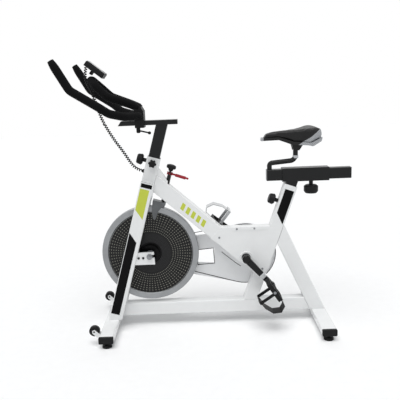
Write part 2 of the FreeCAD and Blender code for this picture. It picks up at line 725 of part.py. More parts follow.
def make_guard():
    side = "tube_width / 2"
    floor_y = f"({side} + guard_wall)"
    roof_y = f"({floor_y} + guard_depth)"
    inner = new_body("belt_guard_inner")
    guard_plate(inner, side, floor_y)
    through(inner, lambda sketch: circle(sketch, "shell_radius + seam", "bottom_x", "bottom_z"))
    through(inner, lambda sketch: circle(sketch, "small_pulley - 8", "flywheel_x", "flywheel_z"))
    through(inner, lambda sketch: window(sketch, "0"))
    outer = new_body("outer_shell", listed=False)
    guard_plate(outer, floor_y, roof_y)
    hollow = new_body("shell_hollow", listed=False)
    guard_plate(hollow, f"{floor_y} - 1", f"{roof_y} - guard_wall", "guard_wall")
    curb = new_body("window_curb", listed=False)
    plate(curb, lambda sketch: window(sketch, "guard_wall"), floor_y, roof_y)
    trimmed = less("open_shell", outer, [hollow], listed=False)
    holes = new_body("window_hole", listed=False)
    plate(holes, lambda sketch: window(sketch, "0"), f"{side} - 1", f"{roof_y} + 1")
    axle_hole = cylinder("axle_hole", "axle_radius + 4 + slip", "40",
                         in_frame(axle_frame, "0", "0", "hub_width / 2"))
    crank_hole = cylinder("crank_hole", "crank_axle_radius + 8", "40",
                          in_frame(bottom_frame, "0", "0", "shell_far"))
    less("belt_guard_outer", joined("curbed_shell", [trimmed, curb], listed=False),
         [holes, axle_hole, crank_hole])
    make_side_panel()


def make_side_panel():
    """The flat cover on the rider's left, over the triangle of tubes behind the down tube."""
    panel = new_body("side_panel_plate", listed=False)
    face = "tube_width / 2"
    near, far = f"-({face} + guard_wall)", f"-{face}"
    radius = "(guard_radius - 26)"
    plate(panel, lambda sketch: circle(sketch, radius, "bottom_x", "bottom_z"), near, far)

    def upper(sketch):
        outline(sketch, [
            ("bottom_x - 161", "bottom_z + 96"), ("bottom_x - 106", "cross_top"),
            ("bottom_x + 134", "cross_top"), ("bottom_x + 107", "bottom_z + 48"),
            ("bottom_x - 23", "bottom_z - 20")])

    plate(panel, upper, near, far)
    lower = new_sketch(panel, "XZ_Plane")
    run, fall = "sin(down_lean)", "cos(down_lean)"
    edge_x = f"(bottom_x + {fall} * down_depth / 2)"
    edge_z = f"(bottom_z - {run} * down_depth / 2)"
    outline(lower, [
        (f"{edge_x} - 300 * {run}", f"{edge_z} - 300 * {fall}"),
        (f"{edge_x} + 300 * {run}", f"{edge_z} + 300 * {fall}"),
        (f"{edge_x} - 300 * {run}", f"{edge_z} + 300 * {fall}")])
    pocket(panel, lower)
    through(panel, lambda sketch: circle(sketch, "shell_radius + seam", "bottom_x", "bottom_z"))
    lip = new_body("panel_lip", listed=False)
    plate(lip, lambda sketch: outline(sketch, [
        ("bottom_x - 61", "cross_top - 14"), ("bottom_x + 100", "cross_top - 14"),
        ("bottom_x + 100", "cross_top"), ("bottom_x - 61", "cross_top")]),
        f"{near} - 2", near)
    holes = [cylinder("screw_hole", "2 + running", "6",
                      in_frame(upright, x, f"{near} - 3", z, across)) for x, z in panel_screws]
    less("side_panel", joined("lipped_panel", [panel, lip], listed=False), holes)


def make_drive():
    far = "belt_near + belt_width"
    turned("drive_pulley", [
        ("crank_axle_radius", "belt_near - 1"), ("crank_axle_radius + 10", "belt_near - 1"),
        ("crank_axle_radius + 10", "belt_near + 2"), ("large_pulley - 8", "belt_near + 2"),
        ("large_pulley - 8", "belt_near - 0.3"), ("large_pulley", "belt_near - 0.3"),
        ("large_pulley", f"{far} + 0.3"), ("large_pulley - 8", f"{far} + 0.3"),
        ("large_pulley - 8", "belt_near + 6"), ("crank_axle_radius + 10", "belt_near + 6"),
        ("crank_axle_radius + 10", f"{far} + 1"), ("crank_axle_radius", f"{far} + 1")], bottom_frame)
    width = Vector(0, value("belt_width"), 0)
    inside, outside = (Part.Face(belt_loop(value(margin))).extrude(width)
                       for margin in ("slip", "slip + belt_thickness"))
    shaped("drive_belt", outside.cut(inside))
    end = "crank_near + crank_thickness"
    turned("crank_axle", [("0", f"-({end})"), ("crank_axle_radius", f"-({end})"),
                          ("crank_axle_radius", end), ("0", end)], bottom_frame)
    rings = []
    for low, high in (("-shell_near", "-shell_near + bearing_width"),
                      ("shell_far - bearing_width", "shell_far")):
        rings.append(turned("bearing", [
            ("crank_axle_radius + running", low), ("bottom_bearing", low),
            ("bottom_bearing", high), ("crank_axle_radius + running", high)],
            bottom_frame, listed=False))
    grouped("crank_bearings", rings)


def belt_loop(margin):
    """The closed path round both pulleys at a distance from their faces, in the belt's near plane."""
    level = Vector(0, value("belt_near"), 0)
    small, large = value("small_pulley") + margin, value("large_pulley") + margin
    line = bottom - axle
    heading = math.atan2(line.z, line.x)
    lead = math.acos((small - large) / line.Length)

    def on(centre, radius, angle):
        return centre + level + Vector(math.cos(angle), 0, math.sin(angle)) * radius

    top, low = heading + lead, heading - lead
    edges = [
        Part.LineSegment(on(axle, small, top), on(bottom, large, top)),
        Part.Arc(on(bottom, large, top), on(bottom, large, heading), on(bottom, large, low)),
        Part.LineSegment(on(bottom, large, low), on(axle, small, low)),
        Part.Arc(on(axle, small, low), on(axle, small, heading + math.pi), on(axle, small, top))]
    return Part.Wire([edge.toShape() for edge in edges])


# ---------------------------------------------------------------- cranks and pedals
def make_cranks():
    """Left and right cranks, half a turn apart, each with a spindle and a caged pedal."""
    spindles = []
    for name, side, lean, turn in (("left", -1, "crank_lean", "left_pedal_turn"),
                                   ("right", 1, "crank_lean - 180", "right_pedal_turn")):
        frame = leaning(bottom, lean)
        arm = new_body(f"crank_arm_{name}", frame)
        near, far = "crank_near", "crank_near + crank_thickness"
        if side < 0:
            near, far = f"-({far})", f"-({near})"
        plate(arm, lambda sketch: circle(sketch, "crank_width * 0.76"), near, far)

        def blade(sketch):
            outline(sketch, [
                ("-crank_width * 0.6", "0"), ("crank_width * 0.6", "0"),
                ("crank_width * 0.45", "crank_length"), ("-crank_width * 0.45", "crank_length")])

        plate(arm, blade, near, far)
        plate(arm, lambda sketch: circle(sketch, "crank_width * 0.56", "0", "crank_length"), near, far)
        through(arm, lambda sketch: circle(sketch, "crank_axle_radius + running"))
        through(arm, lambda sketch: circle(sketch, "spindle_radius + running", "0", "crank_length"))
        tip = in_frame(frame, "0", "0", "crank_length").Base
        out = Rotation(Vector(1, 0, 0), -90 * side)
        spindles.append(cylinder("pedal_spindle", "spindle_radius",
                                 "pedal_near + pedal_width - 1 - crank_near",
                                 Placement(tip + point(0, f"{side} * crank_near", 0), out)))
        middle = tip + point(0, f"{side} * (pedal_near + pedal_width / 2)", 0)
        make_pedal(name, Placement(middle, Rotation(Vector(0, 1, 0), value(turn))))
    grouped("pedal_spindles", spindles)


def make_pedal(name, frame):
    """A platform with two windows; the toe clip's cage and strap hang from its heavy side."""
    body = new_body(f"pedal_body_{name}", frame)
    sketch = new_sketch(body, "XY_Plane", "-pedal_height / 2")
    rectangle(sketch, "pedal_length", "pedal_width")
    pad(body, sketch, "pedal_height")
    round_edges(body, "6", lambda edge: runs_along(edge, Vector(0, 0, 1)))
    for end in (-1, 1):
        gap = new_sketch(body, "XY_Plane")
        rectangle(gap, "pedal_length * 0.27", "pedal_width - 24", f"{end} * pedal_length * 0.27")
        pocket(body, gap)
    through(body, lambda sketch: circle(sketch, "spindle_radius + running"))
    front = "(-pedal_length / 2)"
    cage = [(front, "-1"), ("-pedal_length / 2 - 34", "4"), ("-pedal_length / 2 - 48", "30"),
            ("-pedal_length / 2 - 32", "60"), ("-pedal_length / 2 + 8", "76"),
            ("-pedal_length / 2 + 44", "77")]
    clip = shaped("toe_cage", strip(cage, 3, 56), frame, listed=False)
    band = shaped("toe_strap", strap_band(), frame, listed=False)
    grouped(f"toe_clip_{name}", [clip, band])


def strip(corners, thickness, width):
    """A bent strip: a line through the corners in X and Z, thick on one side, wide across Y."""
    line = [point(x, 0, z) for x, z in corners]
    inner = []
    for index, corner in enumerate(line):
        before = line[max(index - 1, 0)]
        after = line[min(index + 1, len(line) - 1)]
        into = (corner - before) if index else (after - corner)
        out = (after - corner) if index < len(line) - 1 else into
        bisector = into.normalize() + out.normalize()
        normal = Vector(bisector.z, 0, -bisector.x).normalize()
        square = Vector(into.z, 0, -into.x)
        inner.append(corner - normal * (thickness / normal.dot(square)))
    ring = line + list(reversed(inner)) + [line[0]]
    face = Part.Face(Part.makePolygon([item - Vector(0, width / 2, 0) for item in ring]))
    return face.extrude(Vector(0, width, 0))


def strap_band():
    """The strap: round the sides of the platform and over the top of the cage."""
    low, top = value("-pedal_height / 2 - 2.3"), 82.6
    wide = value("pedal_width / 2 + 2.3")
    outer = Part.makeBox(14, 2 * wide, top - low, Vector(-9, -wide, low))
    inner = Part.makeBox(16, 2 * wide - 4, top - low - 4, Vector(-10, 2 - wide, low + 2))
    spindle = Part.makeCylinder(value("spindle_radius + slip"), 2 * wide + 2,
                                Vector(0, -wide - 1, 0), Vector(0, 1, 0))
    return outer.cut(inner).cut(spindle)


# ---------------------------------------------------------------- handlebar and console
def make_handlebar():
    """A post with a rail on its top; the bars slide along the rail in a clamp."""
    size = ("post_depth", "post_width", "post_wall")
    post = tube("handlebar_tube", head, size, f"(rail_bottom - {stabiliser_top}) / cos(head_lean)",
                "head_lean", end_cut="90", start="head_end - post_insertion", listed=False)
    rail = new_body("rail", listed=False)

    def side_view(sketch):
        outline(sketch, [
            ("rail_front", "rail_bottom"), ("rail_rear", "rail_bottom"),
            ("rail_rear", "rail_bottom + rail_height"),
            ("rail_front + 14", "rail_bottom + rail_height")])

    plate(rail, side_view, "-rail_width / 2", "rail_width / 2")
    joined("handlebar_post", [post, rail])
    outer, inner = outer_bar_points(), inner_bar_points()
    bars = [round_bar(outer, value("bar_radius"))[0], round_bar(inner, value("loop_radius"))[0]]
    channels = [round_bar(outer, value("bar_radius + seam"))[0],
                round_bar(inner, value("loop_radius + seam"))[0]]
    shaped("outer_bar", bars[0])
    neck = new_body("console_neck", listed=False)
    tilt_x, tilt_z = f"({console_x})", f"({console_z})"

    def bracket(sketch):
        outline(sketch, [
            (f"{tilt_x} - 8", f"{tilt_z} - 30"), (f"{tilt_x} + 8", f"{tilt_z} - 30"),
            (f"{tilt_x} + 8", f"{tilt_z} + 8"), (f"{tilt_x} - 8", f"{tilt_z} + 8")])

    plate(neck, bracket, "-8", "8")
    through(neck, lambda sketch: circle(sketch, "3 + running", tilt_x, tilt_z))
    joined("inner_bar", [shaped("loop_bar", bars[1], listed=False), neck])
    make_bar_clamp(channels)
    make_console()


console_x, console_z = "bar_x - 199", "bar_z + 188"


def outer_bar_points():
    """The long bar: across the clamp, out to each side, forward and up into two horns."""
    half = [("-316", "204", "234"), ("-251", "204", "117"), ("-149", "196", "51"),
            ("-105", "172", "18"), ("-51", "140", "3"), ("0", "60", "0")]
    return mirrored([point(f"bar_x + ({x})", f"-({y})", f"bar_z + ({z})") for x, y, z in half])


def inner_bar_points():
    """The short loop inside the long bar; the console stands on its front."""
    half = [("6", "20", "31"), ("-34", "24", "50"), ("-129", "58", "86"), ("-177", "46", "134"),
            ("-199", "18", "158")]
    return mirrored([point(f"bar_x + ({x})", f"-({y})", f"bar_z + ({z})") for x, y, z in half])


def make_bar_clamp(channels):
    """A block that slides on the rail and holds both bars; a lever under it locks it."""
    clamp = new_body("clamp_block", listed=False)
    rear, top = "(clamp_front + clamp_length)", "(bar_z + 54)"
    low = "(rail_bottom - 10)"

    def side_view(sketch):
        outline(sketch, [
            ("clamp_front", low), (rear, low), (rear, f"{top} - 34"), (f"{rear} - 12", f"{top} - 12"),
            (f"{rear} - 28", top), ("clamp_front", f"{top} - 6")])

    plate(clamp, side_view, "-clamp_width / 2", "clamp_width / 2")
    gap = new_sketch(clamp, "YZ_Plane")
    rectangle(gap, "rail_width + 2 * slip", "rail_height + 2 * slip", "0",
              "rail_bottom + rail_height / 2")
    pocket(clamp, gap)
    centre = in_frame(upright, "clamp_front + 5 + pin_radius", "0", f"{low} - 1")
    tools = [shaped("bar_channel", shape, listed=False) for shape in channels]
    tools.append(cylinder("clamp_screw_hole", "pin_radius + running", "14", centre))
    less("bar_clamp", clamp, tools)
    frame = in_frame(upright, "clamp_front + 5 + pin_radius", "0", "rail_bottom")
    boss = turned("lever_boss", [
        ("0", "-0.5"), ("pin_radius", "-0.5"), ("pin_radius", "-10 - slip"), ("9", "-10 - slip"),
        ("9", "-30"), ("7", "-34"), ("0", "-34")], frame, listed=False)
    start = in_frame(frame, "4", "0", "-24").Base
    arm = cylinder("lever_rod", "3.5", "46", along(start, Vector(0.968, 0, -0.25)))
    ball = doc.addObject("Part::Sphere", "lever_ball")
    bind(ball, "Radius", "7")
    ball.Placement = Placement(start + Vector(0.968, 0, -0.25) * 46, Rotation())
    joined("bar_lever", [boss, arm, ball])


def make_console():
    """A flat display box that tilts on the neck in front of the loop."""
    pivot = point(console_x, 0, console_z)
    frame = Placement(pivot, Rotation(Vector(0, 1, 0), 39))
    housing = new_body("console_box", frame, listed=False)
    sketch = new_sketch(housing, "XY_Plane", "12.5")
    rectangle(sketch, "95", "clamp_width", "6", "0")
    pad(housing, sketch, "24")
    round_edges(housing, "6", lambda edge: edge.CenterOfMass.z > 13)
    solids = [housing]
    for side in (-1, 1):
        place = in_frame(frame, "0", f"{side} * 10.4", "-5")
        solids.append(block("console_lug", ("12", "4", "18"), place))
    place = in_frame(frame, "0", "-11", "0", across)
    solids.append(cylinder("console_pin", "3", "22", place))
    key = in_frame(frame, "40", "0", "33.5")
    well = cylinder("button_well", "6 + slip", "4", key)
    less("console_housing", joined("console_solid", solids, listed=False), [well])
    turned("console_button", [("0", "1.5"), ("6", "1.5"), ("6", "3.6"), ("5", "4.2"), ("0", "4.2")],
           key)


def make_cord():
    """The curled cord from the head tube to the console, as one fat tube."""
    gland = in_frame(head, "-head_depth / 2", "-15", "703",
                     Rotation(Vector(0, 1, 0), -90))
    turned("cord_gland", [("0", "0"), ("9", "0"), ("9", "3"), ("6", "8"), ("0", "8")], gland)
    points = [gland.multVec(Vector(0, 0, 10.3))]
    points += [Vector(*corner) for corner in (
        (-330, -24, 750), (-352, -34, 782), (-377, -34, 827), (-413, -34, 879), (-448, -34, 941),
        (-467, -34, 985), (-484, -30, 1045), (-503, -24, 1102), (-530, -14, 1152),
        (-518, -12, 1197))]
    solid, wire, radii = round_bar(points, 6.2)
    print("console cord length", round(wire.Length, 1), "radii", [round(item, 1) for item in radii])
    shaped("console_cord", solid)


# ---------------------------------------------------------------- seat
def make_seat():
    """A post with a sleeve across its top, a slider through it, and the saddle on a bent stem."""
    size = ("post_depth", "post_width", "post_wall")
    post = tube("seat_post_tube", seat, size, f"(sleeve_bottom - {base_top}) / cos(seat_lean)",
                "seat_lean", end_cut="90", start="seat_tube_length - 307", listed=False)
    middle = "(slider_height / 2 + sleeve_bottom + (sleeve_height - slider_height) / 2)"
    sleeve = new_body("sleeve", listed=False)
    plate(sleeve, lambda sketch: outline(sketch, [
        ("sleeve_front", "sleeve_bottom"), ("sleeve_rear", "sleeve_bottom"),
        ("sleeve_rear", "sleeve_bottom + sleeve_height"),
        ("sleeve_front", "sleeve_bottom + sleeve_height")]),
        "-sleeve_width / 2", "sleeve_width / 2")
    bore = new_sketch(sleeve, "YZ_Plane")
    rectangle(bore, "slider_width + 2 * slip", "slider_height + 2 * slip", "0", middle)
    pocket(sleeve, bore)
    knob_hole = cylinder("slider_screw_hole", "pin_radius + running", "14",
                         in_frame(upright, slider_knob_x, "0", "sleeve_bottom - 7"))
    less("seat_post", joined("seat_post_solid", [post, sleeve], listed=False), [knob_hole])
    slider = new_body("seat_slider")
    end_view = new_sketch(slider, "YZ_Plane", "slider_front")
    rectangle(end_view, "slider_width", "slider_height", "0", middle)
    pad(slider, end_view, "slider_rear - slider_front")
    round_edges(slider, "tube_corner", lambda edge: runs_along(edge, Vector(1, 0, 0)))
    make_saddle(f"({middle} + slider_height / 2)")
    frame = in_frame(upright, slider_knob_x, "0", "sleeve_bottom")
    low = "(sleeve_height - slider_height) / 2 - 2 * slip"
    turned("slider_knob", [
        ("0", low), ("pin_radius", low), ("pin_radius", "-slip"), ("9", "-slip"), ("9", "-21"),
        ("24", "-21"), ("32", "-27"), ("32", "-50"), ("26", "-58"), ("0", "-58")], frame)


slider_knob_x = "(sleeve_front + 132)"
saddle_pivot_x, saddle_pivot_z = "(slider_front + 131)", "(saddle_z - 11)"


def make_saddle(slider_top):
    """The bent stem, the tilting clamp and the saddle's shell and cushion."""
    pivot = point(saddle_pivot_x, 0, saddle_pivot_z)
    foot = point("slider_front + 14", 0, slider_top)
    route = [foot, foot + Vector(0, 0, 28), Vector(pivot.x, 0, foot.z + 38),
             Vector(pivot.x, 0, pivot.z - 4)]
    stem = shaped("stem_bar", round_bar(route, value("stem_radius"))[0], listed=False)
    eye = cylinder("stem_eye", "stem_radius", "28", Placement(pivot - Vector(0, 14, 0), across))
    pin_bore = cylinder("stem_pin_bore", "4 + running", "30",
                        Placement(pivot - Vector(0, 15, 0), across))
    less("saddle_stem", joined("stem_solid", [stem, eye], listed=False), [pin_bore])
    solids = [cylinder("saddle_pin", "4", "40", Placement(pivot - Vector(0, 20, 0), across))]
    for side in (-1, 1):
        cheek = new_body("saddle_cheek", listed=False)
        plate(cheek, lambda sketch: outline(sketch, [
            (f"{saddle_pivot_x} - 12", "saddle_z - 22"), (f"{saddle_pivot_x} + 14", "saddle_z - 22"),
            (f"{saddle_pivot_x} + 30", "saddle_z + 2"), (f"{saddle_pivot_x} - 18", "saddle_z + 2")]),
            f"{side} * 17.2 - 2.8", f"{side} * 17.2 + 2.8")
        solids.append(cheek)
    solids.append(block("saddle_plate", ("48", "40", "5"),
                        in_frame(upright, f"{saddle_pivot_x} + 6", "0", "saddle_z + 1")))
    joined("saddle_clamp", solids)
    nose, tail = "(slider_front - 24)", "(slider_front + 241)"
    under = [("0", "25"), ("78", "27"), ("134", "6"), ("194", "6"), ("212", "3"), ("252", "22")]
    seam_line = [("257", "38"), ("206", "18"), ("140", "20"), ("78", "40"), ("3", "38")]
    over = [("17", "57"), ("90", "62"), ("154", "66"), ("230", "79"), ("256", "78"), ("264", "52")]
    profiles = {"saddle_shell": under + seam_line,
                "saddle_cushion": list(reversed(seam_line)) + list(reversed(over))}
    for label, corners in profiles.items():
        side_shape = new_body(f"{label}_side", listed=False)
        plate(side_shape, lambda sketch: outline(sketch, [
            (f"{nose} + ({x})", f"saddle_z + ({z})") for x, z in corners]), "-110", "110")
        plan = new_body(f"{label}_plan", listed=False)
        sketch = new_sketch(plan, "XY_Plane", "saddle_z - 20")
        outline(sketch, [
            (nose, "-20"), (f"{nose} + 110", "-30"), (f"{nose} + 165", "-60"),
            (f"{nose} + 215", "-105"), (tail, "-80"), (tail, "80"), (f"{nose} + 215", "105"),
            (f"{nose} + 165", "60"), (f"{nose} + 110", "30"), (nose, "20")])
        pad(plan, sketch, "140")
        solid = doc.addObject("Part::MultiCommon", label)
        solid.Shapes = [side_shape, plan]
        keep(solid, label)


# ---------------------------------------------------------------- knobs, wheels and feet
def make_knobs():
    for label, frame, up in (("head_pin", head, "head_pin_up"), ("seat_pin", seat, "seat_pin_up")):
        base = in_frame(frame, "0", "0", up).Base
        outward = along(base, frame.Rotation.multVec(Vector(-1, 0, 0)))
        face = "(head_depth / 2)"
        turned(label, [
            ("0", "post_depth / 2 + slip"), ("pin_radius", "post_depth / 2 + slip"),
            ("pin_radius", f"{face} + slip"), ("9", f"{face} + slip"), ("9", f"{face} + 16"),
            ("knob_radius - 6", f"{face} + 16"), ("knob_radius", f"{face} + 22"),
            ("knob_radius - 3", f"{face} + 16 + knob_length - 4"),
            ("knob_radius - 7", f"{face} + 16 + knob_length"), ("0", f"{face} + 16 + knob_length")],
            outward)
    frame = in_frame(head, "0", "0", "lock_up", Rotation(Vector(1, 0, 0), 90))
    hub = turned("lock_knob_hub", [
        ("0", "post_width / 2 + slip"), ("pin_radius", "post_width / 2 + slip"),
        ("pin_radius", "tube_width / 2 + slip"), ("8", "tube_width / 2 + slip"),
        ("8", "33"), ("14", "33"), ("14", "47"), ("12", "48"), ("0", "48")], frame, listed=False)
    solids = [hub]
    for step in range(6):
        angle = math.radians(60 * step)
        place = in_frame(frame, 13 * math.cos(angle), 13 * math.sin(angle), "33")
        solids.append(cylinder("lock_knob_lobe", "5", "13", place))
    joined("head_lock_knob", solids)


def make_wheels():
    for name, side in (("left", -1), ("right", 1)):
        place = in_frame(upright, "wheel_x", f"{side} * wheel_spacing / 2", "wheel_z", across)
        turned(f"transport_wheel_{name}", [
            ("0", "-wheel_width / 2 - 5"), ("4 - running", "-wheel_width / 2 - 5"),
            ("4 - running", "-wheel_width / 2"), ("wheel_radius - 2", "-wheel_width / 2"),
            ("wheel_radius", "-wheel_width / 2 + 2"), ("wheel_radius", "wheel_width / 2 - 2"),
            ("wheel_radius - 2", "wheel_width / 2"), ("4 - running", "wheel_width / 2"),
            ("4 - running", "wheel_width / 2 + 5"), ("0", "wheel_width / 2 + 5")], place)


def make_feet():
    for end, x in (("front", "front_stabiliser_x"), ("rear", "rear_stabiliser_x")):
        for name, side in (("left", -1), ("right", 1)):
            place = in_frame(upright, x, f"{side} * foot_spacing / 2", "0")
            turned(f"foot_{end}_{name}", [
                ("0", "0"), ("foot_radius", "0"), ("foot_radius", "8"), ("foot_radius - 4", "8"),
                ("foot_radius - 5", "12"), ("9", "12"), ("9", "floor_gap - slip"),
                ("pin_radius", "floor_gap - slip"), ("pin_radius", "floor_gap + 13"),
                ("0", "floor_gap + 13")], place)


def make_screws():
    """Screws that hold the side panel to the tubes: one head and a short shank each."""
    screws = []
    for x, z in panel_screws:
        place = in_frame(upright, x, "-tube_width / 2", z, Rotation(Vector(1, 0, 0), 90))
        thick = "guard_wall + 2" if z == lip_height else "guard_wall"
        screws.append(turned("panel_screw", [
            ("0", "0"), ("2", "0"), ("2", thick), ("4.5", thick), ("4.5", f"{thick} + 2"),
            ("0", f"{thick} + 3")], place, listed=False))
    grouped("frame_screws", screws)


lip_height = "(cross_top - 7)"
panel_screws = [("(bottom_x - 39)", lip_height), ("(bottom_x + 41)", lip_height),
                ("(bottom_x - 120)", "(bottom_z + 96)"), ("(bottom_x + 75)", "(bottom_z - 60)")]


make_frame()
make_bushings()
make_flywheel()
make_brake()
make_guard()
make_drive()
make_cranks()
make_handlebar()
make_cord()
make_seat()
make_knobs()
make_wheels()
make_feet()
make_screws()
doc.recompute()

os.makedirs("parts", exist_ok=True)
for item in doc.Objects:
    if "Invalid" in item.State or "Error" in item.State:
        raise RuntimeError(f"{item.Label} is {item.State}")
for item in NODES:
    if item.Shape.isNull() or not item.Shape.isValid() or not item.Shape.Solids:
        raise RuntimeError(f"{item.Label} has no valid solid")
    item.Shape.exportStep(f"parts/{item.Label}.step")
print(len(NODES), "parts written")
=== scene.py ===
"""Indoor spin bike: materials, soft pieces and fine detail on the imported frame.

Metres, +Z up, front of the bike towards -X, rider's left towards -Y. Lengths below are written in
millimetres through mm(), as on the object's own drawing.
"""
import json
import math

import bmesh
import bpy
from mathutils import Matrix, Vector


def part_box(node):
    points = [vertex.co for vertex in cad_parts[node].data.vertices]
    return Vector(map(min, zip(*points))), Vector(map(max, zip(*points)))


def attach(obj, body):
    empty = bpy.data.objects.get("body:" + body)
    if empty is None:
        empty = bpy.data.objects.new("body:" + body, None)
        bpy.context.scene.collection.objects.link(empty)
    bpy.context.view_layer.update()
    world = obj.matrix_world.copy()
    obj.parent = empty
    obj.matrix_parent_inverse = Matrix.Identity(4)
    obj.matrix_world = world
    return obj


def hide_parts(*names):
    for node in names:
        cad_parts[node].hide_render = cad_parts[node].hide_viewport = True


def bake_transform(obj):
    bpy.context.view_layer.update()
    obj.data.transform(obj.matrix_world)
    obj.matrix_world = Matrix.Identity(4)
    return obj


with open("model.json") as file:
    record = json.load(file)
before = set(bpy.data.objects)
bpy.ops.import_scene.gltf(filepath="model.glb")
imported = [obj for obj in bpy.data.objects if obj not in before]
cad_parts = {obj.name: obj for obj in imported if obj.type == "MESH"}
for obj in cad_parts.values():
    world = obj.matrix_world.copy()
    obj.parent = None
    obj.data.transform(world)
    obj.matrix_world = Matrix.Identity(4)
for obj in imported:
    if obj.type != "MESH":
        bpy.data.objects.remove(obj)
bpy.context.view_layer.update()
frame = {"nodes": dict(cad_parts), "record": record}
nodes = frame["nodes"]

joints = {joint["name"]: joint for joint in frame["record"]["behaviour"]["joints"]}

# Where the axes of the two leaning tubes start, and the lean of the down tube and the console.
HEAD_FOOT = (-463, 0, 54)
SEAT_FOOT = (169.5, 0, 114)
DOWN_LEAN = math.radians(131.7)
CONSOLE_LEAN = math.radians(39)

# How far faces stand out from the middle plane of the bike.
LEG_FACE = 72
TUBE_FACE = 25
PANEL_FACE = 29.2
DROPOUT_FACE = 65.5
ARM_MIDDLE = 63.5
ARM_FACE = 72

# Painted panels, trims and screws.
PAINT = 0.4
BAR_COUNT = 5
BAR_SPACING = 30
BAR_START = -385
TRIM_RADIUS = 1.6
TRIM_STEPS = 6
GUARD_RADIUS = 144
GUARD_NOSE = 48
GUARD_STEPS = 24
BOLTS_BACK = (29, 50)
BOLTS_BELOW = 6
COLLAR_BELOW = 47

# Foam, saddle and cord.
BAR_RADIUS = 17.5
LOOP_RADIUS = 18
FOAM_SIDES = 28
FOAM_END = 5
BEND_REACH = 26
SADDLE_DRAWN_IN = (0.975, 0.965, 0.94)
SADDLE_VOXEL = 5
SWELL_CAP = 5
SWELL_PRESSURE = 4
SWELL_FRAMES = 20
WIRE_RADIUS = 2.3
CURL_RADIUS = 5.2
CURL_PITCH = 10.5
CORD_SPLIT = 950

# The flywheel's pattern, by distance from its axle.
DOT_SPACING = 11
DOTS_ROUND = 78
DOTS_FROM = 96
GROOVES_TO = 92
GROOVE_SPACING = 6
HUB_PAINT = 190

# The saddle's silver parts: the nose ahead of NOSE_END, and flanks below a line up the tail.
NOSE_END = 240
FLANK = 42
TAIL_START = (380, 826)
TAIL_SLOPE = 0.78
RIB_SPACING = 9


# ---------------------------------------------------------------- units and frames
def mm(*lengths):
    """Millimetres to metres: one number, or a vector of three."""
    if len(lengths) == 1:
        return lengths[0] / 1000
    return Vector(lengths) / 1000


def srgb(red, green, blue):
    """A screen colour from 0 to 255 as the linear colour a shader takes."""
    linear = [((c / 255 + 0.055) / 1.055) ** 2.4 if c > 10 else c / 255 / 12.92
              for c in (red, green, blue)]
    return (*linear, 1.0)


def leaning(foot, lean):
    """A frame in millimetres whose +Z leans from upright towards +X."""
    return Matrix.Translation(Vector(foot)) @ Matrix.Rotation(lean, 4, "Y")


def pivot(name):
    """Where a hinge turns, in millimetres."""
    return tuple(round(1000 * length, 3) for length in joints[name]["pos_m"])


def slide_lean(name):
    """How far a slide leans from upright towards +X, in radians."""
    across, _, up = joints[name]["axis"]
    return math.atan2(across, up)


FLYWHEEL = pivot("flywheel_spin")
BOTTOM = pivot("crank_spin")
HEAD = leaning(HEAD_FOOT, slide_lean("bar_height"))
SEAT = leaning(SEAT_FOOT, slide_lean("seat_height"))
DOWN = leaning(BOTTOM, DOWN_LEAN)
CONSOLE = leaning(pivot("console_tilt"), CONSOLE_LEAN)


# ---------------------------------------------------------------- materials
def ramp_between(tree, fac, low, high):
    """A colour ramp from low to high, driven by fac."""
    ramp = tree.nodes.new("ShaderNodeValToRGB")
    ramp.color_ramp.elements[0].position = 0.3
    ramp.color_ramp.elements[1].position = 0.7
    ramp.color_ramp.elements[0].color = low
    ramp.color_ramp.elements[1].color = high
    tree.links.new(fac, ramp.inputs["Fac"])
    return ramp.outputs["Color"]


def shaded(colour, factor):
    """A colour made lighter or darker."""
    return (*[min(1.0, c * factor) for c in colour[:3]], 1.0)


def material(name, colour, roughness, metallic=0.0, change=0.05, cloud=25.0, grain=900.0,
             bump=0.03, coat=0.0, gloss=0.5):
    """A surface with slow changes of colour and roughness and a fine grain in relief."""
    made = bpy.data.materials.new(name)
    made.use_nodes = True
    tree = made.node_tree
    shader = tree.nodes["Principled BSDF"]
    place = tree.nodes.new("ShaderNodeTexCoord")
    slow = tree.nodes.new("ShaderNodeTexNoise")
    slow.inputs["Scale"].default_value = cloud
    slow.inputs["Detail"].default_value = 4
    fine = tree.nodes.new("ShaderNodeTexNoise")
    fine.inputs["Scale"].default_value = grain
    for noise in (slow, fine):
        tree.links.new(place.outputs["Object"], noise.inputs["Vector"])
    mixed = ramp_between(tree, slow.outputs["Fac"], shaded(colour, 1 - change),
                         shaded(colour, 1 + change))
    tree.links.new(mixed, shader.inputs["Base Color"])
    spread = tree.nodes.new("ShaderNodeMapRange")
    spread.inputs["To Min"].default_value = max(0.02, roughness * 0.85)
    spread.inputs["To Max"].default_value = min(1.0, roughness * 1.15)
    tree.links.new(slow.outputs["Fac"], spread.inputs["Value"])
    tree.links.new(spread.outputs["Result"], shader.inputs["Roughness"])
    relief = tree.nodes.new("ShaderNodeBump")
    relief.inputs["Strength"].default_value = bump
    relief.inputs["Distance"].default_value = 0.0005
    tree.links.new(fine.outputs["Fac"], relief.inputs["Height"])
    tree.links.new(relief.outputs["Normal"], shader.inputs["Normal"])
    shader.inputs["Metallic"].default_value = metallic
    shader.inputs["Coat Weight"].default_value = coat
    shader.inputs["Specular IOR Level"].default_value = gloss
    return made


def math_node(tree, operation, first, second=None):
    """One arithmetic step on sockets or numbers."""
    node = tree.nodes.new("ShaderNodeMath")
    node.operation = operation
    for socket, source in zip(node.inputs, (first, second)):
        if isinstance(source, (int, float)):
            socket.default_value = source
        elif source is not None:
            tree.links.new(source, socket)
    return node.outputs[0]


def axes(tree):
    """The x, y and z of a point on the object, in metres."""
    place = tree.nodes.new("ShaderNodeTexCoord")
    split = tree.nodes.new("ShaderNodeSeparateXYZ")
    tree.links.new(place.outputs["Object"], split.inputs["Vector"])
    return split.outputs["X"], split.outputs["Y"], split.outputs["Z"]


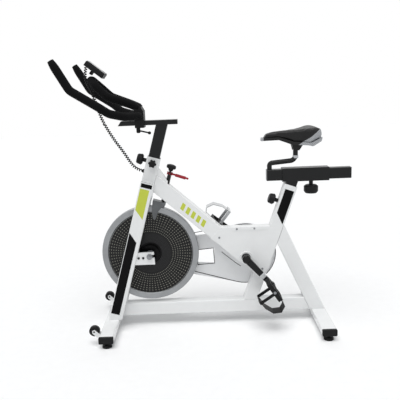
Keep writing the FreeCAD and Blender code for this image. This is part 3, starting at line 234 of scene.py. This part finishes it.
def painted(made, mask, colour):
    """Lay another colour over a material where mask is 1."""
    tree = made.node_tree
    shader = tree.nodes["Principled BSDF"]
    under = shader.inputs["Base Color"].links[0].from_socket
    mix = tree.nodes.new("ShaderNodeMix")
    mix.data_type = "RGBA"
    tree.links.new(mask, mix.inputs["Factor"])
    tree.links.new(under, mix.inputs["A"])
    mix.inputs["B"].default_value = colour
    tree.links.new(mix.outputs["Result"], shader.inputs["Base Color"])


def radius_and_turn(tree, centre):
    """Distance from an axle along Y, in metres, and the angle round it."""
    x, _, z = axes(tree)
    across = math_node(tree, "SUBTRACT", x, mm(centre[0]))
    up = math_node(tree, "SUBTRACT", z, mm(centre[2]))
    squares = math_node(tree, "ADD", math_node(tree, "MULTIPLY", across, across),
                        math_node(tree, "MULTIPLY", up, up))
    return math_node(tree, "SQRT", squares), math_node(tree, "ARCTAN2", up, across)


def flywheel_face():
    """Black enamel with rings of small pale dimples outside and fine turned rings inside."""
    made = material("face_enamel", srgb(15, 15, 16), 0.35, change=0.15, bump=0.04, gloss=0.25)
    tree = made.node_tree
    radius, turn = radius_and_turn(tree, FLYWHEEL)
    ring = math_node(tree, "FRACT", math_node(tree, "DIVIDE", radius, mm(DOT_SPACING)))
    cell = math_node(tree, "FRACT", math_node(tree, "MULTIPLY", turn, DOTS_ROUND / math.tau))
    ring_off = math_node(tree, "ABSOLUTE", math_node(tree, "SUBTRACT", ring, 0.5))
    cell_off = math_node(tree, "ABSOLUTE", math_node(tree, "SUBTRACT", cell, 0.5))
    away = math_node(tree, "SQRT", math_node(
        tree, "ADD", math_node(tree, "MULTIPLY", ring_off, ring_off),
        math_node(tree, "MULTIPLY", cell_off, cell_off)))
    dot = math_node(tree, "LESS_THAN", away, 0.19)
    outside = math_node(tree, "GREATER_THAN", radius, mm(DOTS_FROM))
    painted(made, math_node(tree, "MULTIPLY", dot, outside), srgb(128, 128, 118))
    groove = math_node(tree, "FRACT", math_node(tree, "DIVIDE", radius, mm(GROOVE_SPACING)))
    line = math_node(tree, "LESS_THAN", groove, 0.13)
    inside = math_node(tree, "LESS_THAN", radius, mm(GROOVES_TO))
    painted(made, math_node(tree, "MULTIPLY", line, inside), srgb(52, 52, 54))
    return made


def cast_rim():
    """Brushed pale iron on the rim, and black enamel on the hub."""
    made = material("brushed_rim", srgb(150, 152, 154), 0.32, metallic=0.85, change=0.08,
                    grain=1800, bump=0.08)
    radius, _ = radius_and_turn(made.node_tree, FLYWHEEL)
    hub = math_node(made.node_tree, "LESS_THAN", radius, mm(HUB_PAINT))
    painted(made, hub, srgb(16, 16, 17))
    return made


def saddle_cover():
    """Black cover with a silver nose tip and silver panels low on the tail."""
    made = material("saddle_vinyl", srgb(14, 14, 15), 0.42, change=0.15, cloud=60, grain=1500,
                    bump=0.3, gloss=0.3)
    tree = made.node_tree
    x, y, z = axes(tree)
    side = math_node(tree, "ABSOLUTE", y)
    nose = math_node(tree, "LESS_THAN", x, mm(NOSE_END))
    height = math_node(tree, "SUBTRACT", z, mm(TAIL_START[1]))
    slope = math_node(tree, "MULTIPLY", math_node(tree, "SUBTRACT", x, mm(TAIL_START[0])),
                      TAIL_SLOPE)
    below = math_node(tree, "LESS_THAN", height, slope)
    flank = math_node(tree, "GREATER_THAN", side, mm(FLANK))
    panel = math_node(tree, "MULTIPLY", below, flank)
    ribs = math_node(tree, "DIVIDE", math_node(tree, "ADD", x, z), mm(RIB_SPACING))
    rib = math_node(tree, "LESS_THAN", math_node(tree, "FRACT", ribs), 0.22)
    painted(made, panel, srgb(172, 174, 177))
    painted(made, math_node(tree, "MULTIPLY", panel, rib), srgb(120, 122, 125))
    painted(made, nose, srgb(160, 162, 165))
    return made


FINISH = {
    "white_paint": material("white_enamel", srgb(235, 236, 236), 0.25, change=0.012, coat=0.15,
                            gloss=0.3),
    "white_plastic": material("white_moulding", srgb(228, 229, 230), 0.3, change=0.015,
                              bump=0.05, gloss=0.3),
    "black_paint": material("black_enamel", srgb(16, 17, 18), 0.3, change=0.15, gloss=0.25),
    "black_plastic": material("black_moulding", srgb(15, 15, 16), 0.5, change=0.15, bump=0.15,
                              gloss=0.2),
    "gloss_black": material("black_gloss", srgb(11, 11, 12), 0.16, change=0.15, gloss=0.25),
    "chrome": material("chrome_plate", srgb(175, 177, 180), 0.14, metallic=1.0, change=0.03),
    "steel": material("zinc_steel", srgb(140, 142, 145), 0.3, metallic=1.0, change=0.08),
    "cast_rim": cast_rim(),
    "belt_rubber": material("belt_rubber", srgb(16, 16, 16), 0.75, change=0.2, bump=0.3,
                            gloss=0.2),
    "grip_foam": material("grip_foam", srgb(12, 12, 13), 0.9, change=0.2, cloud=90,
                          grain=1400, bump=0.6, gloss=0.12),
    "saddle_cover": saddle_cover(),
    "red_grip": material("red_rubber", srgb(150, 30, 42), 0.5, change=0.12, bump=0.15,
                         gloss=0.3),
    "felt": material("brown_felt", srgb(110, 92, 74), 0.95, change=0.15, bump=0.6),
    "aluminium": material("turned_aluminium", srgb(160, 162, 165), 0.3, metallic=1.0,
                          change=0.06),
}
LIME = material("lime_enamel", srgb(196, 206, 74), 0.3, change=0.015, gloss=0.3)
SCREEN = material("screen_glass", srgb(62, 68, 66), 0.1, change=0.1)
SMOKE = material("pale_clear_cage", srgb(176, 178, 180), 0.2, change=0.06, coat=0.4)
DARK_STEEL = material("dark_steel", srgb(96, 98, 100), 0.35, metallic=0.8, change=0.2)
LABEL = material("label_black", srgb(9, 9, 10), 0.45, change=0.15, gloss=0.08)
# Silver for the crank arms' painted reflection: it stands for a highlight on the black arm.
CRANK_REFLECTION_PAINT = material("crank_highlight_paint", srgb(205, 207, 208), 0.35, metallic=0.2, change=0.05)
SCREW = material("dark_screw", srgb(44, 44, 46), 0.4, metallic=0.6, change=0.15)
FACE = flywheel_face()


def dress_nodes():
    """Give every CAD node the material of its slot in the record."""
    slots = {part["node"]: part["material_slot"] for part in frame["record"]["subparts"]}
    special = {"flywheel_faces": FACE, "toe_clip_right": SMOKE, "brake_caliper": DARK_STEEL,
               "console_housing": FINISH["black_plastic"],
               "saddle_shell": FINISH["saddle_cover"]}
    for name, piece in nodes.items():
        chosen = special.get(name) or FINISH[slots[name]]
        piece.data.materials.clear()
        piece.data.materials.append(chosen)


# ---------------------------------------------------------------- building pieces
def new_piece(name, mesh, body, finish, smooth=True):
    """A new object that rides on a body. finish is a slot's name or a material."""
    piece = bpy.data.objects.new(name, mesh)
    bpy.context.scene.collection.objects.link(piece)
    mesh.materials.clear()
    mesh.materials.append(FINISH[finish] if isinstance(finish, str) else finish)
    if smooth:
        mesh.shade_smooth()
    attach(piece, body)
    return piece


def mesh_of(name, vertices, faces):
    """A mesh whose faces all look outwards."""
    mesh = bpy.data.meshes.new(name)
    mesh.from_pydata([tuple(v) for v in vertices], [], faces)
    build = bmesh.new()
    build.from_mesh(mesh)
    bmesh.ops.recalc_face_normals(build, faces=build.faces)
    build.to_mesh(mesh)
    build.free()
    return mesh


def prism(name, corners, place, low, high, body, finish, edge=0.0):
    """A flat shape in the x-z plane of a frame, from y low to y high, with softened edges."""
    count = len(corners)
    vertices = [mm(*(place @ Vector((x, y, z)))) for y in (low, high) for x, z in corners]
    faces = [list(range(count)), list(range(2 * count - 1, count - 1, -1))]
    faces += [[i, (i + 1) % count, count + (i + 1) % count, count + i] for i in range(count)]
    piece = new_piece(name, mesh_of(name, vertices, faces), body, finish, smooth=False)
    if edge:
        bevel = piece.modifiers.new("edge", "BEVEL")
        bevel.width = mm(edge)
        bevel.segments = 3
    return piece


def tube_faces(rows, sides):
    """The faces between rings of points, and a cap at each end."""
    faces = []
    for row in range(rows - 1):
        for side in range(sides):
            after = (side + 1) % sides
            faces.append([row * sides + side, row * sides + after,
                          (row + 1) * sides + after, (row + 1) * sides + side])
    last = (rows - 1) * sides
    return faces + [list(range(sides)), list(range(last + sides - 1, last - 1, -1))]


def turned(name, profile, place, body, finish, steps=48, wave=0.0, waves=0):
    """A profile of (radius, height) turned about a frame's z axis, with ribs round it if asked."""
    vertices = []
    for radius, height in profile:
        for step in range(steps):
            angle = math.tau * step / steps
            out = radius * (1 + wave * math.cos(waves * angle))
            local = Vector((out * math.cos(angle), out * math.sin(angle), height))
            vertices.append(mm(*(place @ local)))
    mesh = mesh_of(name, vertices, tube_faces(len(profile), steps))
    piece = new_piece(name, mesh, body, finish)
    bevel = piece.modifiers.new("edge", "BEVEL")
    bevel.width = mm(0.5)
    bevel.segments = 2
    bevel.limit_method = "ANGLE"
    return piece


def smooth_line(points, resolution=24):
    """Points along the NURBS curve that has these control points, in metres."""
    curve = bpy.data.curves.new("route", "CURVE")
    curve.dimensions = "3D"
    curve.resolution_u = resolution
    spline = curve.splines.new("NURBS")
    spline.points.add(len(points) - 1)
    for control, place in zip(spline.points, points):
        control.co = (*mm(*place), 1.0)
    spline.order_u = 3
    spline.use_endpoint_u = True
    holder = bpy.data.objects.new("route", curve)
    bpy.context.scene.collection.objects.link(holder)
    line = bpy.data.meshes.new_from_object(holder)
    places = [vertex.co.copy() for vertex in line.vertices]
    bpy.data.objects.remove(holder)
    bpy.data.curves.remove(curve)
    bpy.data.meshes.remove(line)
    return places


def carried_frames(line):
    """At each point of a line: the point, and two directions across it that don't twist."""
    across = (line[1] - line[0]).orthogonal().normalized()
    carried = []
    for index, place in enumerate(line):
        ahead = (line[min(index + 1, len(line) - 1)] - line[max(index - 1, 0)]).normalized()
        across = (across - ahead * across.dot(ahead)).normalized()
        carried.append((place, across.copy(), ahead.cross(across)))
    return carried


def swept_mesh(name, line, radius, sides):
    """A closed round tube along a line, with radius as a number or a function of 0 to 1."""
    vertices = []
    rings = carried_frames(line)
    for row, (place, first, second) in enumerate(rings):
        size = radius(row / (len(rings) - 1)) if callable(radius) else radius
        for side in range(sides):
            angle = math.tau * side / sides
            vertices.append(place + (first * math.cos(angle) + second * math.sin(angle)) * size)
    return mesh_of(name, vertices, tube_faces(len(rings), sides))


def mirrored(half):
    """A route from the rider's left to the right, given its left half from end to middle."""
    return [(x, -y, z) for x, y, z in half] + [(x, y, z) for x, y, z in reversed(half)]


# ---------------------------------------------------------------- soft pieces
def swollen(piece, cap):
    """Swell a closed mesh with cloth under pressure, each point staying within cap of its place."""
    before = [vertex.co.copy() for vertex in piece.data.vertices]
    cloth = piece.modifiers.new("swell", "CLOTH")
    cloth.settings.use_pressure = True
    cloth.settings.uniform_pressure_force = SWELL_PRESSURE
    cloth.settings.effector_weights.gravity = 0
    cloth.point_cache.frame_end = SWELL_FRAMES
    for step in range(1, SWELL_FRAMES + 1):
        bpy.context.scene.frame_set(step)
    result = piece.evaluated_get(bpy.context.evaluated_depsgraph_get()).to_mesh()
    after = [vertex.co.copy() for vertex in result.vertices]
    piece.modifiers.remove(cloth)
    for vertex, old, new in zip(piece.data.vertices, before, after):
        moved = new - old
        if moved.length > cap:
            moved = moved.normalized() * cap
        vertex.co = old + moved
    bpy.context.scene.frame_set(1)


def make_saddle():
    """The padded saddle: the CAD cushion's shape, drawn in, swollen, and rounded."""
    mesh = nodes["saddle_cushion"].data.copy()
    piece = new_piece("saddle_pad", mesh, "saddle", "saddle_cover")
    low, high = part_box("saddle_cushion")
    middle = (low + high) / 2
    for vertex in mesh.vertices:
        for axis, keep in enumerate(SADDLE_DRAWN_IN):
            vertex.co[axis] = middle[axis] + (vertex.co[axis] - middle[axis]) * keep
    remesh = piece.modifiers.new("even", "REMESH")
    remesh.mode = "VOXEL"
    remesh.voxel_size = mm(SADDLE_VOXEL)
    even = bpy.data.meshes.new_from_object(
        piece.evaluated_get(bpy.context.evaluated_depsgraph_get()))
    piece.modifiers.remove(remesh)
    piece.data = even
    swollen(piece, mm(SWELL_CAP))
    for vertex in piece.data.vertices:
        vertex.co.z = max(vertex.co.z, low.z)
    even.materials.clear()
    even.materials.append(FINISH["saddle_cover"])
    even.shade_smooth()
    round_off = piece.modifiers.new("round", "SUBSURF")
    round_off.levels = 1
    round_off.render_levels = 1
    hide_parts("saddle_cushion")


def firm(points, reach):
    """The same route with a control point on each side of every corner, for tighter bends."""
    places = [Vector(place) for place in points]
    made = [tuple(places[0])]
    for before, corner, after in zip(places, places[1:], places[2:]):
        runs = (before - corner, after - corner)
        near, far = (corner + run.normalized() * min(reach, run.length * 0.4) for run in runs)
        made += [tuple(near), tuple(corner), tuple(far)]
    return made + [tuple(places[-1])]


def foam(name, node, points, radius):
    """A foam sleeve along a bar, with rounded ends."""
    line = smooth_line(firm(points, BEND_REACH), 12)
    length = sum((b - a).length for a, b in zip(line, line[1:]))

    def size(along):
        from_end = min(along, 1 - along) * length / mm(FOAM_END)
        return mm(radius) * math.sqrt(max(0.55, 1 - max(0.0, 1 - from_end) ** 2))

    piece = new_piece(name, swept_mesh(name, line, size, FOAM_SIDES), "bars", "grip_foam")
    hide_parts(node)


def make_grips():
    """The foam on the outer bar with its horns, and on the inner loop under the console."""
    outer = [(-617, 204, 1216), (-552, 204, 1099), (-450, 196, 1033), (-406, 172, 1000),
             (-352, 140, 985), (-301, 60, 982)]
    inner = [(-295, 20, 1013), (-335, 24, 1032), (-430, 58, 1068), (-478, 46, 1116),
             (-500, 18, 1140)]
    foam("outer_grip", "outer_bar", mirrored(outer), BAR_RADIUS)
    foam("inner_grip", "inner_bar", mirrored(inner), LOOP_RADIUS)


def wound(line, curl, pitch, steps=14):
    """Points of a helix of radius curl wound round a line."""
    travelled = [0.0]
    for start, end in zip(line, line[1:]):
        travelled.append(travelled[-1] + (end - start).length)
    frames = carried_frames(line)
    count = int(travelled[-1] / pitch * steps)
    helix = []
    index = 0
    for step in range(count + 1):
        way = travelled[-1] * step / count
        while index < len(line) - 2 and travelled[index + 1] < way:
            index += 1
        share = (way - travelled[index]) / (travelled[index + 1] - travelled[index])
        place, first, second = (frames[index][part].lerp(frames[index + 1][part], share)
                                for part in range(3))
        angle = math.tau * step / steps
        helix.append(place + (first.normalized() * math.cos(angle)
                              + second.normalized() * math.sin(angle)) * curl)
    return helix


def cord_length_of(line, name):
    """One length of the curled cord, wound round part of the route."""
    helix = wound(line, mm(CURL_RADIUS), mm(CURL_PITCH))
    cord = bpy.data.objects.new(name, swept_mesh(name, helix, mm(WIRE_RADIUS), 8))
    bpy.context.scene.collection.objects.link(cord)
    cord.data.materials.append(FINISH["black_plastic"])
    cord.data.shade_smooth()
    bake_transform(cord)
    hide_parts("console_cord")


def make_cord():
    """The curled cord, in two lengths: up to the post's height, and on to the console."""
    gland = HEAD @ Vector((-30 - 10.3, -15, 703))
    route = [tuple(gland), (-330, -24, 750), (-352, -34, 782), (-377, -34, 827),
             (-413, -34, 879), (-448, -34, 941), (-467, -34, 985), (-484, -30, 1045),
             (-503, -24, 1102), (-530, -14, 1152), (-518, -12, 1197)]
    line = smooth_line(route, 40)
    middle = next(index for index, place in enumerate(line) if place.z > mm(CORD_SPLIT))
    cord_length_of(line[:middle + 1], "curled_cord_lower")
    cord_length_of(line[middle:], "curled_cord_upper")


# ---------------------------------------------------------------- painted panels and trim
def both_sides(name, corners, place, face, body, finish):
    """The same thin painted panel on the left and the right face of a tube."""
    for side, label in ((-1, "left"), (1, "right")):
        edges = sorted((side * face, side * (face + PAINT)))
        prism(f"{name}_{label}", corners, place, edges[0], edges[1], body, finish)


def make_panels():
    """The black and lime panels on the legs and seat tube, and plain bars on the down tube."""
    both_sides("leg_stripe", [(-25, 640), (24, 640), (24, 658), (-25, 658)],
               HEAD, LEG_FACE, "frame", LABEL)
    both_sides("leg_lime", [(-25, 534), (16, 497), (16, 633), (-25, 633)],
               HEAD, LEG_FACE, "frame", LIME)
    both_sides("leg_black", [(-27, 29), (13, 29), (13, 386), (-27, 425)],
               HEAD, LEG_FACE, "frame", LABEL)
    both_sides("seat_black", [(22, 385), (22, 545), (-20, 545), (-20, 430)],
               SEAT, TUBE_FACE, "frame", LABEL)
    for number in range(BAR_COUNT):
        start = number * BAR_SPACING + BAR_START
        both_sides(f"down_bar_{number}", [(-13, start), (17, start + 8), (17, start + 26),
                                          (-13, start + 18)],
                   DOWN, TUBE_FACE, "frame", LIME)


def outline_trim(name, corners, y, body):
    """A thin dark line along a closed outline in the x-z plane."""
    points = [mm(x, y, z) for x, z in corners]
    line = []
    for start, end in zip(points, points[1:]):
        line += [start.lerp(end, step / TRIM_STEPS) for step in range(TRIM_STEPS)]
    line.append(points[-1])
    new_piece(name, swept_mesh(name, line, mm(TRIM_RADIUS), 8), body, "black_plastic")


def guard_edge():
    """The guard's outline: round the crank, round the flywheel's axle, straight between them."""
    run = Vector((FLYWHEEL[0] - BOTTOM[0], FLYWHEEL[2] - BOTTOM[2]))
    ahead = math.atan2(run.y, run.x)
    lean = math.acos((GUARD_RADIUS - GUARD_NOSE) / run.length)
    edge = []
    for centre, radius, first, last in (
            (BOTTOM, GUARD_RADIUS, ahead + lean, ahead + math.tau - lean),
            (FLYWHEEL, GUARD_NOSE, ahead - lean, ahead + lean)):
        for step in range(GUARD_STEPS + 1):
            angle = first + (last - first) * step / GUARD_STEPS
            edge.append((centre[0] + radius * math.cos(angle),
                         centre[2] + radius * math.sin(angle)))
    return edge + edge[:1]


def make_trims():
    """A thin dark line round the guard's edge, a dark gasket round its window, and the seam of the
    side panel.
    """
    low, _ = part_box("belt_guard_inner")
    face = low.y * 1000 - 0.3
    # A thin dark line along the guard's edge.
    outline_trim("guard_dark_line", guard_edge(), face, "frame")
    window = [(-72, 276), (7, 281), (3, 355), (-72, 349), (-72, 276)]
    outline_trim("window_trim", window, face, "frame")
    outline_trim("panel_seam", [(40, 352), (100, 300), (127, 280)], -PANEL_FACE, "frame")


def make_lever():
    """The red rubber sleeve on the outer part of the emergency lever."""
    start = Vector(pivot("brake_lever_tip"))
    along = Vector((0.944, 0, -0.329))
    line = [mm(*(start + along * distance)) for distance in range(26, 75, 2)]
    new_piece("lever_sleeve", swept_mesh("lever_sleeve", line, mm(7), 20), "brake_lever",
              "red_grip")


def make_painted_crank_reflections():
    """A painted reflection on each crank arm: a silver band where the black arm shows a bright
    highlight.
    """
    for side, label, sign in ((-1, "left", 1), (1, "right", -1)):
        arm = Vector((0.669 * sign, 0, -0.743 * sign))
        turn = Matrix.Rotation(math.atan2(arm.x, arm.z), 4, "Y")
        place = Matrix.Translation(Vector((BOTTOM[0], side * ARM_MIDDLE, BOTTOM[2]))) @ turn
        prism(f"crank_reflection_strip_{label}", [(-13.2, 98), (13.2, 98), (13.2, 120), (-13.2, 120)],
              place, -8.2, 8.2, "crankset", CRANK_REFLECTION_PAINT, edge=1.5)


def make_screws():
    """Two bolts on each dropout, and the cap on each end of the crank axle."""
    for side, label in ((-1, "left"), (1, "right")):
        turn = Matrix.Rotation(math.radians(90 * side), 4, "X")
        for number, back in enumerate(BOLTS_BACK):
            seat = Matrix.Translation(Vector((FLYWHEEL[0] - back, side * DROPOUT_FACE,
                                              FLYWHEEL[2] - BOLTS_BELOW))) @ turn.inverted()
            turned(f"dropout_bolt_{label}_{number}", [(5.5, 0), (5.5, 3), (4.5, 4), (2, 4)],
                   seat, "frame", SCREW, steps=24)
        place = Matrix.Translation(Vector((BOTTOM[0], side * ARM_FACE, BOTTOM[2])))
        turned(f"crank_cap_{label}", [(17, -0.5), (17, 2), (14, 4), (5, 4.6)],
               place @ turn.inverted(), "crankset", "gloss_black")


def make_saddle_ring():
    """The bright collar at the top of the saddle's stem."""
    place = Matrix.Translation(Vector(pivot("saddle_tilt")) - Vector((0, 0, COLLAR_BELOW)))
    turned("stem_collar", [(12, 0), (13, 1), (13, 13), (12, 14)], place, "seat_slider",
           "chrome")


def make_console():
    """The glossy bezel and the screen on the console's face."""
    prism("console_bezel", [(-38, 36.4), (50, 36.4), (50, 37.2), (-38, 37.2)], CONSOLE,
          -34, 34, "console", "gloss_black", edge=0.3)
    prism("console_screen", [(-30, 37.1), (28, 37.1), (28, 37.7), (-30, 37.7)], CONSOLE,
          -26, 26, "console", SCREEN)


# ---------------------------------------------------------------- camera, light and floor
def make_camera():
    """The camera stands at the rider's left, above the saddle, and looks slightly down."""
    place = Vector((-0.0329, -2.3319, 1.0799))
    yaw, pitch, roll = -0.00748, 0.2061, -0.0389
    ahead = Vector((math.sin(yaw) * math.cos(pitch), math.cos(yaw) * math.cos(pitch),
                    -math.sin(pitch)))
    right = Vector((math.cos(yaw), -math.sin(yaw), 0))
    up = right.cross(ahead)
    right_rolled = right * math.cos(roll) + up * math.sin(roll)
    up_rolled = up * math.cos(roll) - right * math.sin(roll)
    lens = bpy.data.cameras.new("camera")
    lens.sensor_width = 36
    lens.lens = 47.1
    camera = bpy.data.objects.new("camera", lens)
    bpy.context.scene.collection.objects.link(camera)
    turn = Matrix((right_rolled, up_rolled, -ahead)).transposed().to_4x4()
    camera.matrix_world = Matrix.Translation(place) @ turn
    bpy.context.scene.camera = camera


def sun(name, elevation, heading, strength, width):
    """A wide soft sun. heading 0 comes from the rider's left, 90 from the back of the bike."""
    lamp = bpy.data.lights.new(name, "SUN")
    lamp.energy = strength
    lamp.angle = math.radians(width)
    holder = bpy.data.objects.new(name, lamp)
    bpy.context.scene.collection.objects.link(holder)
    up, turn = math.radians(elevation), math.radians(heading)
    coming = Vector((math.sin(turn) * math.cos(up), -math.cos(turn) * math.cos(up),
                     math.sin(up)))
    holder.rotation_euler = coming.to_track_quat("Z", "Y").to_euler()


def make_world():
    """White behind the object, and a softer grey as light."""
    world = bpy.data.worlds.new("studio")
    bpy.context.scene.world = world
    world.use_nodes = True
    tree = world.node_tree
    seen = tree.nodes.new("ShaderNodeLightPath")
    lit = tree.nodes["Background"]
    lit.inputs["Color"].default_value = (0.9, 0.92, 0.94, 1)
    lit.inputs["Strength"].default_value = 0.42
    white = tree.nodes.new("ShaderNodeBackground")
    white.inputs["Color"].default_value = (1, 1, 1, 1)
    white.inputs["Strength"].default_value = 1.0
    rays = seen.outputs["Is Camera Ray"]
    for other in ("Is Glossy Ray", "Is Transmission Ray"):
        rays = math_node(tree, "MAXIMUM", rays, seen.outputs[other])
    choose = tree.nodes.new("ShaderNodeMixShader")
    tree.links.new(rays, choose.inputs["Fac"])
    tree.links.new(lit.outputs["Background"], choose.inputs[1])
    tree.links.new(white.outputs["Background"], choose.inputs[2])
    tree.links.new(choose.outputs["Shader"], tree.nodes["World Output"].inputs["Surface"])


def make_floor():
    """A wide pale floor that takes the shadow."""
    size = 12
    mesh = mesh_of("floor", [(-size, -size, 0), (size, -size, 0), (size, size, 0),
                             (-size, size, 0)], [[0, 1, 2, 3]])
    floor = bpy.data.objects.new("floor", mesh)
    bpy.context.scene.collection.objects.link(floor)
    mesh.materials.append(material("floor_paper", (0.965, 0.965, 0.965, 1), 0.9, change=0.01,
                                   bump=0.0))


def make_studio():
    """Camera, world, floor and the one lamp."""
    bpy.context.scene.view_settings.view_transform = "Standard"
    make_camera()
    make_world()
    make_floor()
    sun("overhead", elevation=72, heading=-15, strength=2.15, width=50)


make_studio()
dress_nodes()
make_cord()
make_saddle()
make_grips()
make_panels()
make_trims()
make_lever()
make_painted_crank_reflections()
make_screws()
make_console()
make_saddle_ring()
